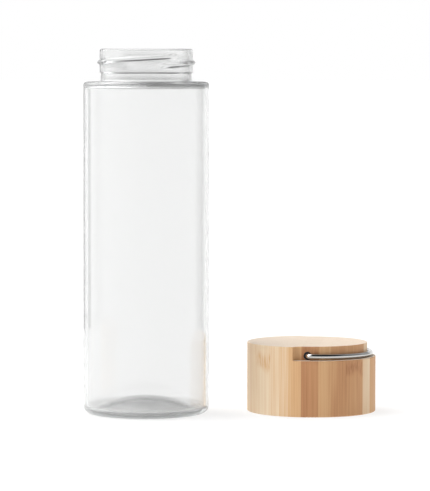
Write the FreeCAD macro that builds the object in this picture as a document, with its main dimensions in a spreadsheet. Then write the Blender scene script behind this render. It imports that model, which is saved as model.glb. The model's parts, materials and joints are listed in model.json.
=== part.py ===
"""Glass water bottle with a screw lid of laminated bamboo and a folding wire bail.

Millimetres, +Z up. The origin is on the bottle's axis, on the plane that it stands on. The open bottle
stands at the origin and its lid stands beside it, towards +X, turned a little about its own axis.
"""

import FreeCAD, Part

import math
import os

import Sketcher
from FreeCAD import Placement, Rotation, Vector

SIZES = {
    # bottle
    "bottle_height": 188.0,
    "body_radius": 32.5,
    "glass_wall": 2.1,
    "heel_radius": 4.0,
    "shoulder_height": 171.4,
    "shoulder_corner": 2.0,
    "shoulder_thickness": 2.4,
    "inside_corner": 1.2,
    "neck_radius": 24.05,
    "groove_radius": 23.35,
    "collar_radius": 23.55,
    "band_bottom": 176.1,
    "band_step": 0.8,
    "mouth_radius": 21.9,
    "bearing_ring_inner": 25.0,
    "punt_height": 5.5,
    "floor_edge_height": 3.4,
    "floor_dome_radius": 26.5,
    "floor_apex_height": 9.0,
    # screw thread, shared by the neck and the liner
    "thread_lead": 9.0,
    "thread_starts": 2,
    "ridge_sweep": 210.0,
    "ridge_fade": 22.0,
    "ridge_rise": 1.2,
    "ridge_width": 3.0,
    "ridge_root": 0.5,
    "ridge_sink": 0.3,
    "ridge_start_below_rim": 8.9,
    "ridge_start_angle": -76.0,
    "rib_sweep": 150.0,
    "rib_rise": 1.25,
    "rib_width": 1.9,
    "rib_start_height": 4.6,
    "rib_start_angle": -40.0,
    # lid block
    "lid_radius": 33.5,
    "lid_height": 36.0,
    "lid_edge": 0.5,
    "socket_radius": 27.75,
    "socket_depth": 19.4,
    "rebate_radius": 29.1,
    "rebate_depth": 7.0,
    "rebate_overrun": 6.0,
    "cutter_radius": 4.0,
    "pivot_above_ledge": 2.2,
    "pivot_hole_radius": 2.15,
    "pivot_hole_depth": 11.0,
    # liner and seal
    "liner_radius": 27.65,
    "liner_bore": 25.65,
    "liner_recess": 0.4,
    "liner_lead_in": 0.6,
    "liner_glue": 0.1,
    "liner_roof": 17.8,
    "seal_height": 15.5,
    "seal_thickness": 2.0,
    "seal_inner": 21.3,
    "seal_outer": 25.2,
    "bead_inner": 24.85,
    "bead_height": 0.9,
    "seal_play": 0.3,
    # bail and its sleeves
    "sleeve_radius": 2.1,
    "sleeve_bore": 1.35,
    "sleeve_length": 10.0,
    "sleeve_face": 28.6,
    "wire_radius": 1.25,
    "bail_radius": 30.9,
    "bail_bend": 2.2,
    "pin_tip": 20.0,
    "bail_droop": 1.15,
    # where the lid stands
    "lid_offset_x": 85.9,
    "lid_offset_y": 12.4,
    "lid_turn": -5.7,
}

# degrees between the sections that a thread's ridge is lofted through
THREAD_STEP = 5.0

document = FreeCAD.newDocument("GlassWaterBottle")
sheet = document.addObject("Spreadsheet::Sheet", "Sizes")
for row, (alias, value) in enumerate(SIZES.items(), start=1):
    sheet.set(f"A{row}", alias)
    sheet.set(f"B{row}", str(value))
    sheet.setAlias(f"B{row}", alias)
document.recompute()


def size(alias):
    """A driving dimension, read from the sheet."""
    return float(sheet.get(alias))


def value_of(expression):
    """What an expression on the sheet's cells comes to."""
    return float(sheet.evalExpression(expression))


# ---------------------------------------------------------------- helpers for bodies and sketches

def new_body(label):
    body = document.addObject("PartDesign::Body", label)
    body.Label = label
    return body


def plane(body, role):
    """One of the body's own origin planes."""
    return next(item for item in body.Origin.OriginFeatures if item.Role == role)


def new_sketch(body, name, role="XZ_Plane", raised="0"):
    """A sketch on one of the body's planes, moved along the plane's normal by an expression."""
    sketch = body.newObject("Sketcher::SketchObject", name)
    sketch.AttachmentSupport = [(plane(body, role), "")]
    sketch.MapMode = "FlatFace"
    if raised != "0":
        sketch.setExpression("AttachmentOffset.Base.z", raised)
    document.recompute()
    return sketch


def bind(sketch, kind, where, expression):
    """A dimension of a sketch, bound to the sheet."""
    index = sketch.addConstraint(Sketcher.Constraint(kind, *where, value_of(expression)))
    sketch.setExpression(f"Constraints[{index}]", expression)


def pin_down(sketch, geometry, end, x_expression, y_expression):
    """Holds one end of a line or arc at a place given by two expressions."""
    if x_expression == "0":
        sketch.addConstraint(Sketcher.Constraint("PointOnObject", geometry, end, -2))
    else:
        bind(sketch, "DistanceX", (-1, 1, geometry, end), x_expression)
    if y_expression == "0":
        sketch.addConstraint(Sketcher.Constraint("PointOnObject", geometry, end, -1))
    else:
        bind(sketch, "DistanceY", (-1, 1, geometry, end), y_expression)


def domed_arc(start, end):
    """An arc between two points of a section, with its centre on the vertical axis, so that it is
    level there."""
    (x0, y0), (x1, y1) = start, end
    centre = (x1 * x1 + y1 * y1 - x0 * x0 - y0 * y0) / (2 * (y1 - y0))
    radius = math.hypot(x0, y0 - centre)
    angles = sorted(math.atan2(y - centre, x) for x, y in (start, end))
    circle = Part.Circle(Vector(0, centre, 0), Vector(0, 0, 1), radius)
    return Part.ArcOfCircle(circle, *angles)


def section(body, name, corners, domes=()):
    """A closed section for a turned piece. corners are (radius, height) expressions; domes are the
    numbers of the sides that are arcs."""
    sketch = new_sketch(body, name)
    places = [(value_of(r), value_of(z)) for r, z in corners]
    count = len(corners)
    for side in range(count):
        start, end = places[side], places[(side + 1) % count]
        if side in domes:
            sketch.addGeometry(domed_arc(start, end), False)
        else:
            sketch.addGeometry(Part.LineSegment(Vector(*start, 0), Vector(*end, 0)), False)
    first_end = {}
    last_end = {}
    for side in range(count):
        # an arc runs anticlockwise, so it may start at the side's far end
        curve = sketch.Geometry[side]
        forward = curve.StartPoint.distanceToPoint(Vector(*places[side], 0)) < 1e-6
        first_end[side], last_end[side] = (1, 2) if forward else (2, 1)
    for side in range(count):
        following = (side + 1) % count
        join = (side, last_end[side], following, first_end[following])
        sketch.addConstraint(Sketcher.Constraint("Coincident", *join))
        pin_down(sketch, side, first_end[side], *corners[side])
        if side in domes:
            sketch.addConstraint(Sketcher.Constraint("PointOnObject", side, 3, -2))
    document.recompute()
    return sketch


def turned(body, name, corners, domes=()):
    """A piece turned about its vertical axis."""
    sketch = section(body, name + "Section", corners, domes)
    turn = body.newObject("PartDesign::Revolution", name)
    turn.Profile = sketch
    turn.ReferenceAxis = (sketch, ["V_Axis"])
    turn.Angle = 360
    document.recompute()
    return turn


def ring_edges(shape, places):
    """The names of the shape's level circles of the given (radius, height)."""
    names = []
    for number, edge in enumerate(shape.Edges, start=1):
        if edge.Degenerated or not isinstance(edge.Curve, Part.Circle):
            continue
        centre = edge.Curve.Center
        on_axis = math.hypot(centre.x, centre.y) < 1e-4
        for radius, height in places:
            if on_axis and abs(edge.Curve.Radius - radius) < 1e-3 and abs(centre.z - height) < 1e-3:
                names.append(f"Edge{number}")
    if len(names) < len(places):
        raise ValueError(f"only {len(names)} of {len(places)} edges found")
    return names


def rounded(body, base, name, radius_expression, places):
    """A fillet on level edges, each given as (radius, height) expressions."""
    wanted = [(value_of(r), value_of(z)) for r, z in places]
    fillet = body.newObject("PartDesign::Fillet", name)
    fillet.Base = (base, ring_edges(base.Shape, wanted))
    fillet.setExpression("Radius", radius_expression)
    document.recompute()
    return fillet


# ---------------------------------------------------------------- screw thread

def thread_ridge(name, wall_radius, outward, rise, width, start_height, start_angle, sweep):
    """One ridge of a screw thread: a rounded bump that follows a right-hand helix on a round wall
    and sinks into the wall at both ends. outward is 1 on a neck and -1 in a bore."""
    root = size("ridge_root")
    sink = size("ridge_sink")
    count = int(round(sweep / THREAD_STEP))
    fade = size("ridge_fade")
    lead = size("thread_lead")
    wires = []
    for number in range(count + 1):
        along = number * THREAD_STEP
        ease = min(along, sweep - along, fade) / fade
        crest = outward * ((rise + sink) * math.sin(ease * math.pi / 2) - sink)
        turn = math.radians(start_angle + along)
        middle = start_height + lead * along / 360
        half = width / 2

        def place(radial, height, turn=turn, middle=middle):
            reach = wall_radius + radial
            return Vector(reach * math.cos(turn), reach * math.sin(turn), middle + height)

        low, high = place(-outward * root, -half), place(-outward * root, half)
        bump = Part.Arc(low, place(crest, 0), high).toShape()
        wires.append(Part.Wire([bump, Part.makeLine(high, low)]))
    ridge = document.addObject("Part::Feature", name)
    ridge.Shape = Part.makeLoft(wires, True, False)
    return ridge


def thread(name, **ridge):
    """All the starts of a thread, evenly spaced round the wall."""
    starts = int(size("thread_starts"))
    first = ridge.pop("start_angle")
    return [
        thread_ridge(f"{name}{number + 1}", start_angle=first + number * 360 / starts, **ridge)
        for number in range(starts)
    ]


def fused(label, shapes):
    union = document.addObject("Part::MultiFuse", label)
    union.Shapes = shapes
    union.Label = label
    union.Refine = True
    document.recompute()
    return union


# ---------------------------------------------------------------- the bottle

def make_bottle():
    """A blown glass bottle: pushed-up base, straight wall, level shoulder, short wide neck."""
    body = new_body("bottle_blank")
    inner = "Sizes.body_radius - Sizes.glass_wall"
    ceiling = "Sizes.shoulder_height - Sizes.shoulder_thickness"
    blank = turned(
        body,
        "Blank",
        [
            ("0", "Sizes.punt_height"),
            ("Sizes.bearing_ring_inner", "0"),
            ("Sizes.body_radius", "0"),
            ("Sizes.body_radius", "Sizes.shoulder_height"),
            ("Sizes.collar_radius", "Sizes.shoulder_height"),
            ("Sizes.groove_radius", "Sizes.band_bottom - Sizes.band_step"),
            ("Sizes.neck_radius", "Sizes.band_bottom"),
            ("Sizes.neck_radius", "Sizes.bottle_height"),
            ("Sizes.mouth_radius", "Sizes.bottle_height"),
            ("Sizes.mouth_radius", ceiling),
            (inner, ceiling),
            (inner, "Sizes.floor_edge_height"),
            ("Sizes.floor_dome_radius", "Sizes.floor_edge_height"),
            ("0", "Sizes.floor_apex_height"),
        ],
        domes=(0, 12),
    )
    heel = rounded(body, blank, "Heel", "Sizes.heel_radius", [("Sizes.body_radius", "0")])
    corner = rounded(
        body, heel, "ShoulderCorner", "Sizes.shoulder_corner",
        [("Sizes.body_radius", "Sizes.shoulder_height")],
    )
    inside = rounded(
        body, corner, "InsideCorners", "Sizes.inside_corner",
        [(inner, ceiling), (inner, "Sizes.floor_edge_height")],
    )
    neck = rounded(
        body, inside, "NeckRoots", "Sizes.shoulder_corner / 2",
        [("Sizes.collar_radius", "Sizes.shoulder_height"), ("Sizes.mouth_radius", ceiling)],
    )
    rim = rounded(
        body, neck, "Rim", "Sizes.shoulder_corner / 2",
        [("Sizes.neck_radius", "Sizes.bottle_height"), ("Sizes.mouth_radius", "Sizes.bottle_height")],
    )
    body.Tip = rounded(
        body, rim, "BandEdge", "Sizes.shoulder_corner / 8",
        [
            ("Sizes.neck_radius", "Sizes.band_bottom"),
            ("Sizes.groove_radius", "Sizes.band_bottom - Sizes.band_step"),
        ],
    )
    document.recompute()
    ridges = thread(
        "NeckRidge",
        wall_radius=size("neck_radius"),
        outward=1,
        rise=size("ridge_rise"),
        width=size("ridge_width"),
        start_height=size("bottle_height") - size("ridge_start_below_rim"),
        start_angle=size("ridge_start_angle"),
        sweep=size("ridge_sweep"),
    )
    return fused("bottle", [body] + ridges)


# ---------------------------------------------------------------- the lid

def lid_placement(tilt=0.0, height=0.0):
    """Where a piece of the lid stands; the bail is also tilted about its pivots."""
    stand = Vector(size("lid_offset_x"), size("lid_offset_y"), height)
    turn = Rotation(Vector(0, 0, 1), size("lid_turn"))
    return Placement(stand, turn * Rotation(Vector(0, 1, 0), tilt))


def cylinder(name, radius, height, **place):
    """A cylinder whose sizes and place are expressions."""
    tool = document.addObject("Part::Cylinder", name)
    tool.setExpression("Radius", radius)
    tool.setExpression("Height", height)
    for axis, expression in place.items():
        tool.setExpression(f"Placement.Base.{axis}", expression)
    return tool


def cut(name, base, tool):
    result = document.addObject("Part::Cut", name)
    result.Base = base
    result.Tool = tool
    document.recompute()
    return result


def rebate_tool():
    """The space cut round one side of the lid's top for the folded bail: a stepped ring with a
    quarter-round end wall at each end, left by the cutter."""
    ledge = "Sizes.lid_height - Sizes.rebate_depth"
    depth = "Sizes.rebate_depth + 1"
    sweep = cylinder("RebateSweep", "Sizes.lid_radius + 5", depth, z=ledge)
    sweep.setExpression("Angle", "180 + 2 * Sizes.rebate_overrun")
    sweep.setExpression("Placement.Rotation.Angle", "-90 - Sizes.rebate_overrun")
    core = cylinder("RebateCore", "Sizes.rebate_radius", depth, z=ledge)
    ring = cut("RebateRing", sweep, core)
    reach = "(Sizes.rebate_radius + Sizes.cutter_radius)"
    ends = [
        cylinder(
            f"RebateEnd{name}",
            "Sizes.cutter_radius",
            depth,
            x=f"-{reach} * sin(Sizes.rebate_overrun)",
            y=f"{side} * {reach} * cos(Sizes.rebate_overrun)",
            z=ledge,
        )
        for name, side in (("Front", -1), ("Rear", 1))
    ]
    return fused("Rebate", [ring] + ends)


def pivot_drill(name, side):
    """A blind hole drilled into the rebate's wall towards the lid's axis. side is -1 or 1 along Y."""
    drill = cylinder(
        name,
        "Sizes.pivot_hole_radius",
        "Sizes.pivot_hole_depth + 2",
        y=f"{side} * (Sizes.rebate_radius - Sizes.pivot_hole_depth)",
        z="Sizes.lid_height - Sizes.rebate_depth + Sizes.pivot_above_ledge",
    )
    drill.Placement.Rotation = Rotation(Vector(1, 0, 0), -90 * side)
    return drill


def outer_edges(shape):
    """The numbers of the block's edges that are broken: those at its foot, on its top and round
    the ledge's lip."""
    heights = (0.0, size("lid_height"), size("lid_height") - size("rebate_depth"))
    least = size("rebate_radius") - 0.1
    found = []
    for number, edge in enumerate(shape.Edges, start=1):
        if edge.Degenerated:
            continue
        box = edge.BoundBox
        level = any(abs(box.ZMin - z) < 1e-4 and abs(box.ZMax - z) < 1e-4 for z in heights)
        middle = edge.valueAt((edge.FirstParameter + edge.LastParameter) / 2)
        out = math.hypot(middle.x, middle.y)
        on_ledge = abs(box.ZMin - heights[2]) < 1e-4
        if level and out > (size("lid_radius") - 0.1 if on_ledge else least):
            found.append(number)
    return found


def make_lid_block():
    """The lid's block: bamboo strips glued side by side, then turned, bored and rebated."""
    body = new_body("lid_blank")
    turned(
        body,
        "LidBlank",
        [
            ("0", "Sizes.socket_depth"),
            ("Sizes.socket_radius", "Sizes.socket_depth"),
            ("Sizes.socket_radius", "0"),
            ("Sizes.lid_radius", "0"),
            ("Sizes.lid_radius", "Sizes.lid_height"),
            ("0", "Sizes.lid_height"),
        ],
    )
    tools = fused("LidTools", [rebate_tool(), pivot_drill("DrillFront", -1), pivot_drill("DrillRear", 1)])
    machined = cut("LidMachined", body, tools)
    block = document.addObject("Part::Fillet", "lid_block")
    block.Base = machined
    edge = size("lid_edge")
    block.Edges = [(number, edge, edge) for number in outer_edges(machined.Shape)]
    block.Label = "lid_block"
    document.recompute()
    block.Placement = lid_placement()
    return block


def make_thread_liner():
    """The moulded cup glued in the block: it has the inside thread and a bead that keeps the seal."""
    body = new_body("liner_blank")
    bead_top = "Sizes.seal_height - Sizes.seal_play"
    turned(
        body,
        "LinerBlank",
        [
            ("0", "Sizes.liner_roof"),
            ("Sizes.liner_bore", "Sizes.liner_roof"),
            ("Sizes.liner_bore", bead_top),
            ("Sizes.bead_inner", bead_top),
            ("Sizes.liner_bore", f"{bead_top} - Sizes.bead_height"),
            ("Sizes.liner_bore", "Sizes.liner_recess + Sizes.liner_lead_in"),
            ("Sizes.liner_bore + Sizes.liner_lead_in", "Sizes.liner_recess"),
            ("Sizes.liner_radius", "Sizes.liner_recess"),
            ("Sizes.liner_radius", "Sizes.socket_depth - Sizes.liner_glue"),
            ("0", "Sizes.socket_depth - Sizes.liner_glue"),
        ],
    )
    ribs = thread(
        "LinerRib",
        wall_radius=size("liner_bore"),
        outward=-1,
        rise=size("rib_rise"),
        width=size("rib_width"),
        start_height=size("rib_start_height"),
        start_angle=size("rib_start_angle"),
        sweep=size("rib_sweep"),
    )
    liner = fused("thread_liner", [body] + ribs)
    liner.Placement = lid_placement()
    return liner


def ring_pad(body, name, role, raised, outer, inner, length):
    """A ring, drawn as two circles and padded."""
    sketch = new_sketch(body, name + "Sketch", role, raised)
    for number, radius in enumerate((outer, inner)):
        circle = Part.Circle(Vector(0, 0, 0), Vector(0, 0, 1), value_of(radius))
        sketch.addGeometry(circle, False)
        sketch.addConstraint(Sketcher.Constraint("Coincident", number, 3, -1, 1))
        bind(sketch, "Radius", (number,), radius)
    pad = body.newObject("PartDesign::Pad", name)
    pad.Profile = sketch
    pad.setExpression("Length", length)
    document.recompute()
    return pad


def make_seal_ring():
    """The soft flat washer that the bottle's rim presses against."""
    body = new_body("seal_ring")
    pad = ring_pad(
        body, "Seal", "XY_Plane", "Sizes.seal_height", "Sizes.seal_outer", "Sizes.seal_inner",
        "Sizes.seal_thickness",
    )
    top = "Sizes.seal_height + Sizes.seal_thickness"
    body.Tip = rounded(
        body, pad, "SealEdges", "Sizes.seal_play",
        [(r, z) for r in ("Sizes.seal_outer", "Sizes.seal_inner") for z in ("Sizes.seal_height", top)],
    )
    body.Placement = lid_placement()
    return body


def make_pivot_sleeve(label, side):
    """The plastic sleeve that lines a pivot hole, flush with the rebate's wall."""
    body = new_body(label)
    pad = ring_pad(
        body, label + "_tube", "XZ_Plane", "Sizes.sleeve_face - Sizes.sleeve_length", "Sizes.sleeve_radius",
        "Sizes.sleeve_bore", "Sizes.sleeve_length",
    )
    body.Tip = pad
    height = size("lid_height") - size("rebate_depth") + size("pivot_above_ledge")
    place = lid_placement(height=height)
    half_turn = Rotation(Vector(0, 0, 1), 0 if side < 0 else 180)
    body.Placement = Placement(place.Base, place.Rotation * half_turn)
    return body


def make_bail():
    """The carrying handle: one stainless wire, bent in a half circle, its ends turned in as pins."""
    body = new_body("bail")
    reach, bend, tip = size("bail_radius"), size("bail_bend"), size("pin_tip")
    bend_start = math.sqrt((reach - bend) ** 2 - bend**2)
    lean = math.atan2(-bend_start, bend)
    up = Vector(0, 0, 1)
    path = new_sketch(body, "BailPath", "XY_Plane")
    front_bend = Part.Circle(Vector(bend, -bend_start, 0), up, bend)
    rear_bend = Part.Circle(Vector(bend, bend_start, 0), up, bend)
    for curve in (
        Part.LineSegment(Vector(0, -tip, 0), Vector(0, -bend_start, 0)),
        Part.ArcOfCircle(front_bend, -math.pi, lean),
        Part.ArcOfCircle(Part.Circle(Vector(0, 0, 0), up, reach), lean, -lean),
        Part.ArcOfCircle(rear_bend, -lean, math.pi),
        Part.LineSegment(Vector(0, bend_start, 0), Vector(0, tip, 0)),
    ):
        path.addGeometry(curve, False)
    for before, after in ((0, 1), (1, 2), (2, 3), (3, 4)):
        path.addConstraint(Sketcher.Constraint("Tangent", before, 2, after, 1))
    path.addConstraint(Sketcher.Constraint("Coincident", 2, 3, -1, 1))
    path.addConstraint(Sketcher.Constraint("PointOnObject", 0, 1, -2))
    path.addConstraint(Sketcher.Constraint("PointOnObject", 0, 2, -2))
    path.addConstraint(Sketcher.Constraint("Vertical", 4))
    path.addConstraint(Sketcher.Constraint("Symmetric", 0, 1, 4, 2, -1))
    path.addConstraint(Sketcher.Constraint("Equal", 1, 3))
    bind(path, "Radius", (2,), "Sizes.bail_radius")
    bind(path, "Radius", (1,), "Sizes.bail_bend")
    bind(path, "DistanceY", (0, 1, -1, 1), "Sizes.pin_tip")
    profile = new_sketch(body, "WireSection", "XZ_Plane", "Sizes.pin_tip")
    profile.addGeometry(Part.Circle(Vector(0, 0, 0), up, size("wire_radius")), False)
    profile.addConstraint(Sketcher.Constraint("Coincident", 0, 3, -1, 1))
    bind(profile, "Radius", (0,), "Sizes.wire_radius")
    document.recompute()
    wire = body.newObject("PartDesign::AdditivePipe", "Wire")
    wire.Profile = profile
    wire.Spine = (path, [])
    document.recompute()
    ends = body.newObject("PartDesign::Chamfer", "PinEnds")
    tips = [
        f"Edge{number}"
        for number, edge in enumerate(wire.Shape.Edges, start=1)
        if abs(abs(edge.BoundBox.YMin) - tip) < 1e-3 and edge.BoundBox.YLength < 1e-3
    ]
    ends.Base = (wire, tips)
    ends.setExpression("Size", "Sizes.wire_radius / 4")
    document.recompute()
    body.Tip = ends
    height = size("lid_height") - size("rebate_depth") + size("pivot_above_ledge")
    body.Placement = lid_placement(tilt=size("bail_droop"), height=height)
    return body


# ---------------------------------------------------------------- building and writing

pieces = [
    make_bottle(),
    make_lid_block(),
    make_thread_liner(),
    make_seal_ring(),
    make_pivot_sleeve("pivot_sleeve_front", -1),
    make_pivot_sleeve("pivot_sleeve_rear", 1),
    make_bail(),
]
document.recompute()

for item in document.Objects:
    if {"Invalid", "Error"} & set(item.State):
        raise RuntimeError(f"{item.Name} could not be built: {item.State}")

os.makedirs("parts", exist_ok=True)
for piece in pieces:
    shape = piece.Shape
    if shape.isNull() or not shape.isValid() or not shape.Solids:
        raise RuntimeError(f"{piece.Label} has no valid solid")
    shape.exportStep(os.path.join("parts", f"{piece.Label}.step"))
    box = shape.BoundBox
    print(
        f"{piece.Label}: {len(shape.Solids)} solid, {shape.Volume / 1000:.2f} cm3,",
        f"X {box.XMin:.2f}..{box.XMax:.2f}, Y {box.YMin:.2f}..{box.YMax:.2f},",
        f"Z {box.ZMin:.2f}..{box.ZMax:.2f}",
    )
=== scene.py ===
"""Looks of the glass water bottle and its bamboo lid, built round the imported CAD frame. Metres, +Z up."""

import json
import math

import bpy
from mathutils import Euler, Matrix, Vector


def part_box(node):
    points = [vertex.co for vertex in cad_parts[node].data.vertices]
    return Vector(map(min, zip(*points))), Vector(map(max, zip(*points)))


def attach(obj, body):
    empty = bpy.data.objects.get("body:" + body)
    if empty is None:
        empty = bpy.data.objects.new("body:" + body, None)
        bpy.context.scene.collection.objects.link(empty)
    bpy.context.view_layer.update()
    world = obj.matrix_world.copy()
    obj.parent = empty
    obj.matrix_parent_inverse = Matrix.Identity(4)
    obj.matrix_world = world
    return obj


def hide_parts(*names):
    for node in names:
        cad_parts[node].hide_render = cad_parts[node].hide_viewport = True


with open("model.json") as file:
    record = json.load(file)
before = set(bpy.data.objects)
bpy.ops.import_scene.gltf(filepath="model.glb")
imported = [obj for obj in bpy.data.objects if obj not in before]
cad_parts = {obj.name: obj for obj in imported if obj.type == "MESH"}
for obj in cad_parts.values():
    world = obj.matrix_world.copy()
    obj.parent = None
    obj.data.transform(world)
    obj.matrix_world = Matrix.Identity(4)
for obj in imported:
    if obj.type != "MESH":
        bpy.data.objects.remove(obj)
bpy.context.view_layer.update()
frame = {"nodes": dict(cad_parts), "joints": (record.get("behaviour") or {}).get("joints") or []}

MM = 0.001

# ---------------------------------------------------------------- places taken from the frame

bottle_low, bottle_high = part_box("bottle")
block_low, block_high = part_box("lid_block")
JOINTS = {joint["name"]: joint for joint in frame["joints"]}
LID_CENTRE = Vector(JOINTS["lid_turn"]["pos_m"])
PIVOT_AXIS = Vector(JOINTS["bail_swing"]["axis"]).normalized()
LID_TURN = math.atan2(PIVOT_AXIS.x, -PIVOT_AXIS.y)
LID_RADIUS = (block_high.y - block_low.y) / 2
BOTTLE_HEIGHT = bottle_high.z
BODY_RADIUS = bottle_high.x


# ---------------------------------------------------------------- small helpers for meshes

def smooth_object(name, verts, faces):
    mesh = bpy.data.meshes.new(name)
    mesh.from_pydata([tuple(v) for v in verts], [], faces)
    mesh.validate()
    made = bpy.data.objects.new(name, mesh)
    bpy.context.scene.collection.objects.link(made)
    for polygon in mesh.polygons:
        polygon.use_smooth = True
    return made


def rounded_outline(corners, steps=8, support=0.35 * MM):
    """Points along a section whose corners, (radius, height, fillet), are rounded. A point just outside
    each end of a fillet keeps the shading of the long sides flat."""
    points = []
    for number, (r, z, fillet) in enumerate(corners):
        here = Vector((r, z))
        if fillet == 0:
            points.append(here)
            continue
        back = (Vector(corners[number - 1][:2]) - here).normalized()
        ahead = (Vector(corners[number + 1][:2]) - here).normalized()
        half = back.angle(ahead) / 2
        reach = fillet / math.tan(half)
        centre = here + (back + ahead).normalized() * fillet / math.sin(half)
        start, end = here + back * reach, here + ahead * reach
        points.append(start + back * support)
        first, last = start - centre, end - centre
        turn = first.angle_signed(last)
        for step in range(steps + 1):
            angle = -turn * step / steps
            arm = Matrix.Rotation(angle, 2) @ first
            points.append(centre + arm)
        points.append(end + ahead * support)
    return points


def dome(apex_height, edge_radius, edge_height, steps=14):
    """Points of a round dome on the axis, from its apex to its edge."""
    rise = apex_height - edge_height
    radius = (edge_radius ** 2 + rise ** 2) / (2 * rise)
    sweep = math.asin(edge_radius / radius)
    centre = apex_height - radius
    return [
        Vector((radius * math.sin(sweep * n / steps), centre + radius * math.cos(sweep * n / steps)))
        for n in range(steps + 1)
    ]


def lathe(name, outline, segments, shift=None):
    """Turns an outline that starts and ends on the axis. shift(radius, angle, height) may move a point
    outwards."""
    verts = [(0, 0, outline[0].y)]
    for r, z in outline[1:-1]:
        for n in range(segments):
            angle = 2 * math.pi * n / segments
            reach = r + (shift(r, angle, z) if shift else 0)
            verts.append((reach * math.cos(angle), reach * math.sin(angle), z))
    verts.append((0, 0, outline[-1].y))
    rings = len(outline) - 2
    faces = []
    for n in range(segments):
        following = (n + 1) % segments
        faces.append((0, 1 + following, 1 + n))
        for ring in range(rings - 1):
            base = 1 + ring * segments
            faces.append((base + n, base + following, base + segments + following, base + segments + n))
        last = 1 + (rings - 1) * segments
        faces.append((last + n, last + following, len(verts) - 1))
    return smooth_object(name, verts, faces)


# ---------------------------------------------------------------- the bottle's glass

WALL = 2.1 * MM
SHOULDER = 171.4 * MM
SHOULDER_CORNER = 2.0 * MM
CEILING = SHOULDER - 2.4 * MM
NECK = 24.05 * MM
GROOVE = 23.35 * MM
COLLAR = 23.55 * MM
MOUTH = 21.9 * MM
BAND_BOTTOM = 176.1 * MM
BAND_STEP = 0.8 * MM
BAND_EDGE = 0.25 * MM
BAND_TOP = BOTTLE_HEIGHT - 1.4 * MM
ROUNDING = 1.0 * MM
HEEL = 4.0 * MM
FOOT_RADIUS = 25.0 * MM
PUNT_RISE = 5.5 * MM
FLOOR_RADIUS = 26.5 * MM
FLOOR_EDGE = 3.4 * MM
FLOOR_MIDDLE = 9.0 * MM
INSIDE_CORNER = 1.2 * MM
THREAD_LEAD = 9.0 * MM
THREAD_STARTS = 2
RIDGE_SWEEP = math.radians(210)
RIDGE_FADE = math.radians(22)
RIDGE_START = math.radians(-76)
RIDGE_RISE = 1.2 * MM
RIDGE_HALF_WIDTH = 1.5 * MM
RIDGE_LOW = BOTTLE_HEIGHT - 8.9 * MM
NECK_ROWS = 60
SEGMENTS = 288


def ridge_height(radius, angle, height):
    """How far the glass stands out of the neck for the rounded ridges of the screw thread."""
    if abs(radius - NECK) > 0.01 * MM or height < BAND_BOTTOM:
        return 0.0
    most = 0.0
    for start in range(THREAD_STARTS):
        along = (angle - RIDGE_START - start * 2 * math.pi / THREAD_STARTS) % (2 * math.pi)
        if along > RIDGE_SWEEP:
            continue
        middle = RIDGE_LOW + THREAD_LEAD * along / (2 * math.pi)
        off = abs(height - middle) / RIDGE_HALF_WIDTH
        if off >= 1:
            continue
        ease = min(along, RIDGE_SWEEP - along, RIDGE_FADE) / RIDGE_FADE
        ease = ease * ease * (3 - 2 * ease)
        most = max(most, RIDGE_RISE * ease * (1 - off ** 2) ** 1.5)
    return most


def make_bottle():
    """The glass as one lathed outline, from the punt up the outside and down the inside."""
    inner = BODY_RADIUS - WALL
    rows_start = BAND_BOTTOM + 0.5 * MM
    outline = dome(PUNT_RISE, FOOT_RADIUS, 0)
    outline += rounded_outline([
        (FOOT_RADIUS, 0, 0),
        (BODY_RADIUS, 0, HEEL),
        (BODY_RADIUS, SHOULDER, SHOULDER_CORNER),
        (COLLAR, SHOULDER, ROUNDING),
        (GROOVE, BAND_BOTTOM - BAND_STEP, BAND_EDGE),
        (NECK, BAND_BOTTOM, BAND_EDGE),
        (NECK, rows_start, 0),
    ])[1:]
    outline += [
        Vector((NECK, rows_start + (BAND_TOP - rows_start) * n / NECK_ROWS))
        for n in range(1, NECK_ROWS + 1)
    ]
    outline += rounded_outline([
        (NECK, BAND_TOP, 0),
        (NECK, BOTTLE_HEIGHT, ROUNDING),
        (MOUTH, BOTTLE_HEIGHT, ROUNDING),
        (MOUTH, CEILING, ROUNDING),
        (inner, CEILING, INSIDE_CORNER),
        (inner, FLOOR_EDGE, INSIDE_CORNER),
        (FLOOR_RADIUS, FLOOR_EDGE, 0),
    ])[1:]
    outline += list(reversed(dome(FLOOR_MIDDLE, FLOOR_RADIUS, FLOOR_EDGE)))[1:]
    glass = lathe("bottle_glass", outline, SEGMENTS, ridge_height)
    glass.data.materials.append(glass_material())
    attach(glass, "bottle")
    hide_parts("bottle")


# ---------------------------------------------------------------- node helpers for materials

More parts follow.
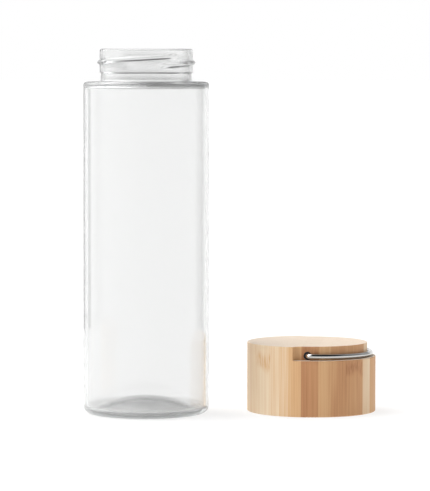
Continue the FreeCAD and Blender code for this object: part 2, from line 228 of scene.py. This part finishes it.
class Nodes:
    """A material's or world's node tree, with short calls for adding and joining nodes."""

    def __init__(self, owner):
        owner.use_nodes = True
        self.tree = owner.node_tree
        self.tree.nodes.clear()

    def add(self, kind, **settings):
        node = self.tree.nodes.new(kind)
        for name, value in settings.items():
            setattr(node, name, value)
        return node

    def link(self, output, entry):
        self.tree.links.new(output, entry)

    def feed(self, entry, value):
        """Joins a socket to an input, or sets the input to a number or colour."""
        if isinstance(value, bpy.types.NodeSocket):
            self.link(value, entry)
        else:
            entry.default_value = value

    def math(self, operation, first, second=None, third=None):
        node = self.add("ShaderNodeMath", operation=operation)
        for entry, value in zip(node.inputs, (first, second, third)):
            if value is not None:
                self.feed(entry, value)
        return node.outputs[0]

    def ease(self, value, start, end, low=0.0, high=1.0):
        """Goes smoothly from low to high as the value goes from start to end."""
        node = self.add("ShaderNodeMapRange", interpolation_type="SMOOTHSTEP")
        for entry, given in zip(node.inputs, (value, start, end, low, high)):
            self.feed(entry, given)
        return node.outputs[0]

    def product(self, first, second):
        return self.math("MULTIPLY", first, second)

    def add_scaled(self, value, scale, base):
        """value times scale, plus base."""
        return self.math("MULTIPLY_ADD", value, scale, base)

    def split(self, vector):
        node = self.add("ShaderNodeSeparateXYZ")
        self.link(vector, node.inputs[0])
        return node.outputs

    def combine(self, x, y, z):
        node = self.add("ShaderNodeCombineXYZ")
        for entry, value in zip(node.inputs, (x, y, z)):
            self.feed(entry, value)
        return node.outputs[0]

    def noise(self, vector, scale, detail=2.0, roughness=0.5):
        node = self.add("ShaderNodeTexNoise")
        self.link(vector, node.inputs["Vector"])
        node.inputs["Scale"].default_value = scale
        node.inputs["Detail"].default_value = detail
        node.inputs["Roughness"].default_value = roughness
        return node.outputs["Fac"]

    def ramp(self, value, stops, interpolation="LINEAR"):
        """A colour ramp. stops are (position, colour or grey level)."""
        node = self.add("ShaderNodeValToRGB")
        node.color_ramp.interpolation = interpolation
        elements = node.color_ramp.elements
        while len(elements) < len(stops):
            elements.new(1.0)
        for element, (position, colour) in zip(elements, stops):
            element.position = position
            element.color = (*colour, 1) if isinstance(colour, tuple) else (colour, colour, colour, 1)
        self.link(value, node.inputs[0])
        return node.outputs[0]

    def mix(self, amount, first, second):
        node = self.add("ShaderNodeMix", data_type="RGBA")
        self.feed(node.inputs[0], amount)
        self.feed(node.inputs[6], first)
        self.feed(node.inputs[7], second)
        return node.outputs[2]

    def bump(self, height, distance, strength=1.0):
        node = self.add("ShaderNodeBump")
        self.link(height, node.inputs["Height"])
        node.inputs["Distance"].default_value = distance
        node.inputs["Strength"].default_value = strength
        return node.outputs[0]


def surface(name, **settings):
    """A material with one Principled shader whose constants are set on its own sockets. It gives back the
    material, its nodes, the shader and the output node."""
    material = bpy.data.materials.new(name)
    nodes = Nodes(material)
    shader = nodes.add("ShaderNodeBsdfPrincipled")
    output = nodes.add("ShaderNodeOutputMaterial")
    nodes.link(shader.outputs[0], output.inputs["Surface"])
    for entry, value in settings.items():
        shader.inputs[entry.replace("_", " ")].default_value = value
    return material, nodes, shader, output


def object_place(nodes):
    return nodes.add("ShaderNodeTexCoord").outputs["Object"]


# ---------------------------------------------------------------- materials

GLASS_HAZE = 0.02
CORNER_HAZE = 0.16
UNDERSIDE_HAZE = 0.45
CLEARNESS = 0.94
CORNER_LOSS = 0.10
HEEL_LOSS = 1.8


def glass_material():
    """Clear glass with a faint grey-green tint that gathers where the wall is seen edge-on, and the
    slow waves that blowing leaves in it. The bore, the ceiling, the underside and the thick corners
    have a little haze, because light trapped in them would otherwise show as black rings."""
    material, nodes, shader, output = surface(
        "clear_glass", Base_Color=(0.943, 0.944, 0.943, 1), IOR=1.47
    )
    x, y, z = nodes.split(object_place(nodes))
    reach_squared = nodes.add_scaled(x, x, nodes.product(y, y))

    def within(inner, outer):
        """1 nearer to the axis than the inner radius, 0 past the outer one."""
        return nodes.ease(reach_squared, outer ** 2, inner ** 2)

    bore = within(MOUTH + 0.2 * MM, MOUTH + 0.5 * MM)
    inside_neck = nodes.product(nodes.ease(z, SHOULDER, SHOULDER + 2 * MM), bore)
    hollow = BODY_RADIUS - WALL
    under_ceiling = nodes.product(
        nodes.ease(z, CEILING - 1.5 * MM, CEILING - 0.5 * MM),
        within(hollow, hollow + 0.1 * MM),
    )
    punt = nodes.add_scaled(reach_squared, PUNT_RISE / FLOOR_RADIUS ** 2, z)
    underside = nodes.ease(punt, 7.4 * MM, 7.0 * MM)
    rough = nodes.add_scaled(nodes.math("MAXIMUM", inside_neck, under_ceiling), CORNER_HAZE, GLASS_HAZE)
    nodes.link(nodes.add_scaled(underside, UNDERSIDE_HAZE, rough), shader.inputs["Roughness"])

    beyond_foot = nodes.ease(reach_squared, (24 * MM) ** 2, (27 * MM) ** 2)
    heel = nodes.product(nodes.ease(z, 6 * MM, 4 * MM), beyond_foot)
    shoulder = nodes.product(
        nodes.ease(z, CEILING - 2 * MM, CEILING),
        nodes.ease(z, SHOULDER + 3 * MM, SHOULDER),
    )
    thick = nodes.math("MAXIMUM", nodes.product(heel, HEEL_LOSS), shoulder)
    nodes.link(nodes.add_scaled(thick, -CORNER_LOSS, CLEARNESS), shader.inputs["Transmission Weight"])

    waves = nodes.noise(object_place(nodes), 38.0, 1.0)
    nodes.link(nodes.bump(waves, 0.06 * MM), shader.inputs["Normal"])
    volume = nodes.add("ShaderNodeVolumeAbsorption")
    volume.inputs["Color"].default_value = (0.645, 0.672, 0.668, 1)
    volume.inputs["Density"].default_value = 32.0
    nodes.link(volume.outputs[0], output.inputs["Volume"])
    return material


# bamboo strips from one side of the block to the other: far edge in mm from the lid's axis, how light
# the strip is, and the height in mm of the growth node in it, if it has one
NO_NODE = 90.0
STRIPS = (
    (-27.2, 0.84, NO_NODE), (-19.5, 0.90, 27.0), (-14.6, 0.85, NO_NODE), (-9.9, 0.76, NO_NODE),
    (-3.4, 0.54, NO_NODE), (5.6, 0.17, 30.5), (11.8, 0.48, NO_NODE), (19.5, 0.32, NO_NODE),
    (27.5, 0.34, 24.5), (30.9, 0.80, NO_NODE), (34.0, 0.45, NO_NODE),
)


def strip_steps(nodes, across, column, scale):
    """A value that is constant over each strip, from one column of STRIPS."""
    stops = [(0.0, STRIPS[0][column] * scale)]
    for strip, following in zip(STRIPS, STRIPS[1:]):
        stops.append((strip[0] * MM / (2 * LID_RADIUS) + 0.5, following[column] * scale))
    return nodes.ramp(across, stops, "CONSTANT")


def bamboo_material():
    """Upright bamboo strips glued side by side: straight fine fibres, a growth node here and there,
    and pale end grain with its dots on the flat faces."""
    material, nodes, shader, _ = surface("laminated_bamboo", IOR=1.45, Specular_IOR_Level=0.35)
    own = nodes.add("ShaderNodeMapping", vector_type="TEXTURE")
    own.inputs["Location"].default_value = LID_CENTRE
    own.inputs["Rotation"].default_value = (0, 0, LID_TURN)
    nodes.link(object_place(nodes), own.inputs["Vector"])
    x, y, z = nodes.split(own.outputs[0])
    across = nodes.add_scaled(x, 1 / (2 * LID_RADIUS), 0.5)
    strip = strip_steps(nodes, across, 1, 1.0)
    node_height = strip_steps(nodes, across, 2, 1 / NO_NODE)
    seed = nodes.product(strip, 7.3)
    shifted = (nodes.math("ADD", x, seed), nodes.math("ADD", y, seed))

    def drawn_out(stretch, scale, detail=1.0, roughness=0.5):
        """Noise that is drawn out along the strips, more so the smaller the stretch value is."""
        place = nodes.combine(*shifted, nodes.product(z, stretch))
        return nodes.noise(place, scale, detail, roughness)

    fibre = drawn_out(0.012, 1500.0, 2.0, 0.55)
    streak = drawn_out(0.06, 330.0)
    cloud = drawn_out(0.4, 90.0)
    fleck = drawn_out(0.16, 1300.0)

    up_node = nodes.product(node_height, NO_NODE * MM)
    wander = nodes.add_scaled(cloud, 12 * MM, -6 * MM)
    from_node = nodes.math("ADD", nodes.math("SUBTRACT", z, up_node), wander)
    near_node = nodes.ease(nodes.math("ABSOLUTE", from_node), 5.5 * MM, 0.5 * MM)
    node_depth = nodes.add_scaled(nodes.ease(fleck, 0.30, 0.75), 0.27, 0.08)
    knot = nodes.product(near_node, node_depth)

    light = strip
    for pattern, depth in ((fibre, 0.60), (streak, 0.26), (cloud, 0.14)):
        light = nodes.add_scaled(pattern, depth, nodes.math("SUBTRACT", light, depth / 2))
    light = nodes.math("SUBTRACT", light, knot)
    side = nodes.ramp(light, [
        (0.0, (0.44, 0.20, 0.092)),
        (0.30, (0.60, 0.315, 0.150)),
        (0.60, (0.71, 0.44, 0.225)),
        (1.0, (0.84, 0.68, 0.49)),
    ])

    dots = nodes.noise(nodes.combine(*shifted, z), 1900.0, 2.0, 0.6)
    ray_place = nodes.combine(nodes.product(shifted[0], 0.25), shifted[1], z)
    rays = nodes.noise(ray_place, 420.0, 2.0, 0.5)
    grain = nodes.math("ADD", nodes.product(dots, 0.5), nodes.product(rays, 0.3))
    grain = nodes.add_scaled(strip, 0.10, grain)
    end = nodes.ramp(grain, [
        (0.20, (0.66, 0.50, 0.36)),
        (0.44, (0.82, 0.68, 0.545)),
        (0.78, (0.88, 0.77, 0.65)),
    ])

    facing = nodes.split(nodes.add("ShaderNodeNewGeometry").outputs["Normal"])
    flat = nodes.ease(nodes.math("ABSOLUTE", facing[2]), 0.75, 0.95)
    nodes.link(nodes.mix(flat, side, end), shader.inputs["Base Color"])
    nodes.link(nodes.add_scaled(fibre, 0.25, 0.40), shader.inputs["Roughness"])
    relief = nodes.mix(flat, fibre, dots)
    nodes.link(nodes.bump(relief, 0.08 * MM, 0.5), shader.inputs["Normal"])
    return material


def steel_material():
    """Polished wire with fine uneven scratches."""
    material, nodes, shader, _ = surface(
        "polished_steel", Base_Color=(0.60, 0.60, 0.59, 1), Metallic=1.0
    )
    scratches = nodes.noise(object_place(nodes), 900.0, 3.0)
    nodes.link(nodes.add_scaled(scratches, 0.10, 0.06), shader.inputs["Roughness"])
    return material


def plastic_material(name, colour, roughness, grain):
    """Moulded plastic or rubber with a fine even texture."""
    material, nodes, shader, _ = surface(name, Base_Color=(*colour, 1))
    texture = nodes.noise(object_place(nodes), grain)
    nodes.link(nodes.add_scaled(texture, 0.12, roughness), shader.inputs["Roughness"])
    nodes.link(nodes.bump(texture, 0.02 * MM), shader.inputs["Normal"])
    return material


def dress(node, material):
    """Puts one material on a CAD node."""
    slots = frame["nodes"][node].data.materials
    slots.clear()
    slots.append(material)


# ---------------------------------------------------------------- studio

FLOOR_REACH = 40
FLOOR_DROP = 0.2 * MM
FLOOR_GLOW = 0.76
ROOM_LEVEL = 1.0
FRONT_LEVEL = 0.22
DARK_LEVEL = 0.12
PATCH_DIRECTION = Vector((0.10, 0.80, 0.56))
DARK_DIRECTION = Vector((0.05, -0.65, 0.75))
KEY_DIRECTION = Vector((-0.75, 0.10, 0.65))
KEY_LEVEL = 3.5
CAMERA_PLACE = (0.0355, -1.500, 0.178)
CAMERA_TILT = math.radians(3.48)
CAMERA_ROLL = math.radians(0.1)
LENS = 213.3


def make_floor():
    """A plain white table top that also glows a little, so that it looks white right to its edge."""
    bpy.ops.mesh.primitive_circle_add(
        vertices=96, radius=FLOOR_REACH, fill_type="NGON", location=(0, 0, -FLOOR_DROP)
    )
    floor = bpy.context.object
    floor.name = "floor"
    material, nodes, shader, _ = surface(
        "pale_floor", Roughness=0.9, Specular_IOR_Level=0.0, Emission_Color=(1, 1, 1, 1),
        Emission_Strength=FLOOR_GLOW,
    )
    mottle = nodes.noise(object_place(nodes), 6.0)
    nodes.link(nodes.ramp(mottle, [(0.0, 0.27), (1.0, 0.28)]), shader.inputs["Base Color"])
    floor.data.materials.append(material)


def make_world():
    """A pale room with a soft key light at the left. It is darker high up behind the table and overhead
    at the front, and what isn't matt also sees a darker front above the table. The camera itself sees
    plain white past the object."""
    world = bpy.data.worlds.new("studio")
    bpy.context.scene.world = world
    nodes = Nodes(world)
    direction = nodes.add("ShaderNodeTexCoord").outputs["Generated"]
    x, y, z = nodes.split(direction)

    def close_to(aim, start, end, low=0.0, high=1.0):
        """Goes from low to high as the direction comes closer to the aim."""
        dot = nodes.add("ShaderNodeVectorMath", operation="DOT_PRODUCT")
        nodes.link(direction, dot.inputs[0])
        dot.inputs[1].default_value = aim.normalized()
        return nodes.ease(dot.outputs["Value"], start, end, low, high)

    behind = nodes.product(nodes.ease(nodes.math("ABSOLUTE", x), 0.62, 0.40), nodes.ease(y, 0.0, 0.2))
    sweep = nodes.ramp(z, [
        (0.0, 0.0), (0.08, 0.0), (0.32, 0.30), (0.37, 0.9), (0.44, 1.0), (0.50, 0.4), (0.60, 0.2),
    ])
    dark = nodes.product(sweep, behind)
    dark = nodes.math("MAXIMUM", dark, close_to(PATCH_DIRECTION, 0.95, 0.975))
    dark = nodes.math("MAXIMUM", dark, close_to(DARK_DIRECTION, 0.62, 0.76))

    path = nodes.add("ShaderNodeLightPath")
    not_matt = nodes.math("SUBTRACT", 1.0, path.outputs["Is Diffuse Ray"])
    front = nodes.product(nodes.ease(y, 1.0, 0.2), not_matt)
    front = nodes.product(front, nodes.ease(z, -0.02, 0.30))
    level = nodes.product(
        nodes.ease(front, 0.0, 1.0, ROOM_LEVEL, FRONT_LEVEL),
        nodes.ease(dark, 0.0, 1.0, 1.0, DARK_LEVEL),
    )
    softbox = close_to(KEY_DIRECTION, 0.55, 0.95, 0.0, KEY_LEVEL)

    room = nodes.add("ShaderNodeBackground")
    nodes.link(nodes.math("ADD", level, softbox), room.inputs["Color"])
    backdrop = nodes.add("ShaderNodeBackground")
    backdrop.inputs["Color"].default_value = (1, 1, 1, 1)
    choose = nodes.add("ShaderNodeMixShader")
    nodes.link(path.outputs["Is Camera Ray"], choose.inputs[0])
    nodes.link(room.outputs[0], choose.inputs[1])
    nodes.link(backdrop.outputs[0], choose.inputs[2])
    output = nodes.add("ShaderNodeOutputWorld")
    nodes.link(choose.outputs[0], output.inputs["Surface"])


def add_flag(name, width, height, place, grey):
    """A grey card with soft sides, facing the bottle's axis, that draws the edges of glass and steel.
    Neither the camera nor a matt surface sees it."""
    bpy.ops.mesh.primitive_plane_add(size=1, location=place)
    flag = bpy.context.object
    flag.name = name
    flag.scale = (width, height, 1)
    towards_axis = Vector((-place[0], -place[1], 0))
    flag.rotation_euler = towards_axis.to_track_quat("Z", "Y").to_euler()
    flag.visible_camera = False
    flag.visible_diffuse = False
    flag.visible_shadow = False
    material, nodes, shader, _ = surface(
        name, Base_Color=(0, 0, 0, 1), Specular_IOR_Level=0.0, Emission_Color=(1, 1, 1, 1),
        Emission_Strength=grey,
    )
    sideways = nodes.split(nodes.add("ShaderNodeTexCoord").outputs["Generated"])[0]
    from_middle = nodes.math("ABSOLUTE", nodes.math("SUBTRACT", sideways, 0.5))
    nodes.link(nodes.ease(from_middle, 0.5, 0.15), shader.inputs["Alpha"])
    flag.data.materials.append(material)


def make_camera():
    data = bpy.data.cameras.new("camera")
    camera = bpy.data.objects.new("camera", data)
    bpy.context.scene.collection.objects.link(camera)
    data.sensor_width = 36
    data.lens = LENS
    data.clip_end = 50
    camera.location = CAMERA_PLACE
    camera.rotation_euler = Euler((math.pi / 2 - CAMERA_TILT, 0, 0))
    camera.rotation_euler.rotate_axis("Z", CAMERA_ROLL)
    bpy.context.scene.camera = camera


# ---------------------------------------------------------------- everything together

make_camera()
make_world()
make_floor()
add_flag("right_flag", 0.30, 0.60, (0.42, 0.22, 0.30), 0.42)
add_flag("left_flag", 0.12, 0.60, (-0.19, 0.46, 0.30), 0.35)

make_bottle()
dress("lid_block", bamboo_material())
dress("thread_liner", plastic_material("white_polypropylene", (0.86, 0.86, 0.83), 0.32, 800))
dress("seal_ring", plastic_material("silicone", (0.70, 0.73, 0.73), 0.48, 600))
# The pivot sleeves get a near-black colour, darker than black plastic. It is partly their own dark colour
# and partly painted shade, standing for the deep shadow inside the pivot holes.
sleeve_black_and_hole_shade = plastic_material("sleeve_black_and_hole_shade", (0.008, 0.008, 0.012), 0.4, 900)
dress("pivot_sleeve_front", sleeve_black_and_hole_shade)
dress("pivot_sleeve_rear", sleeve_black_and_hole_shade)
dress("bail", steel_material())

bpy.context.scene.view_settings.view_transform = "Standard"
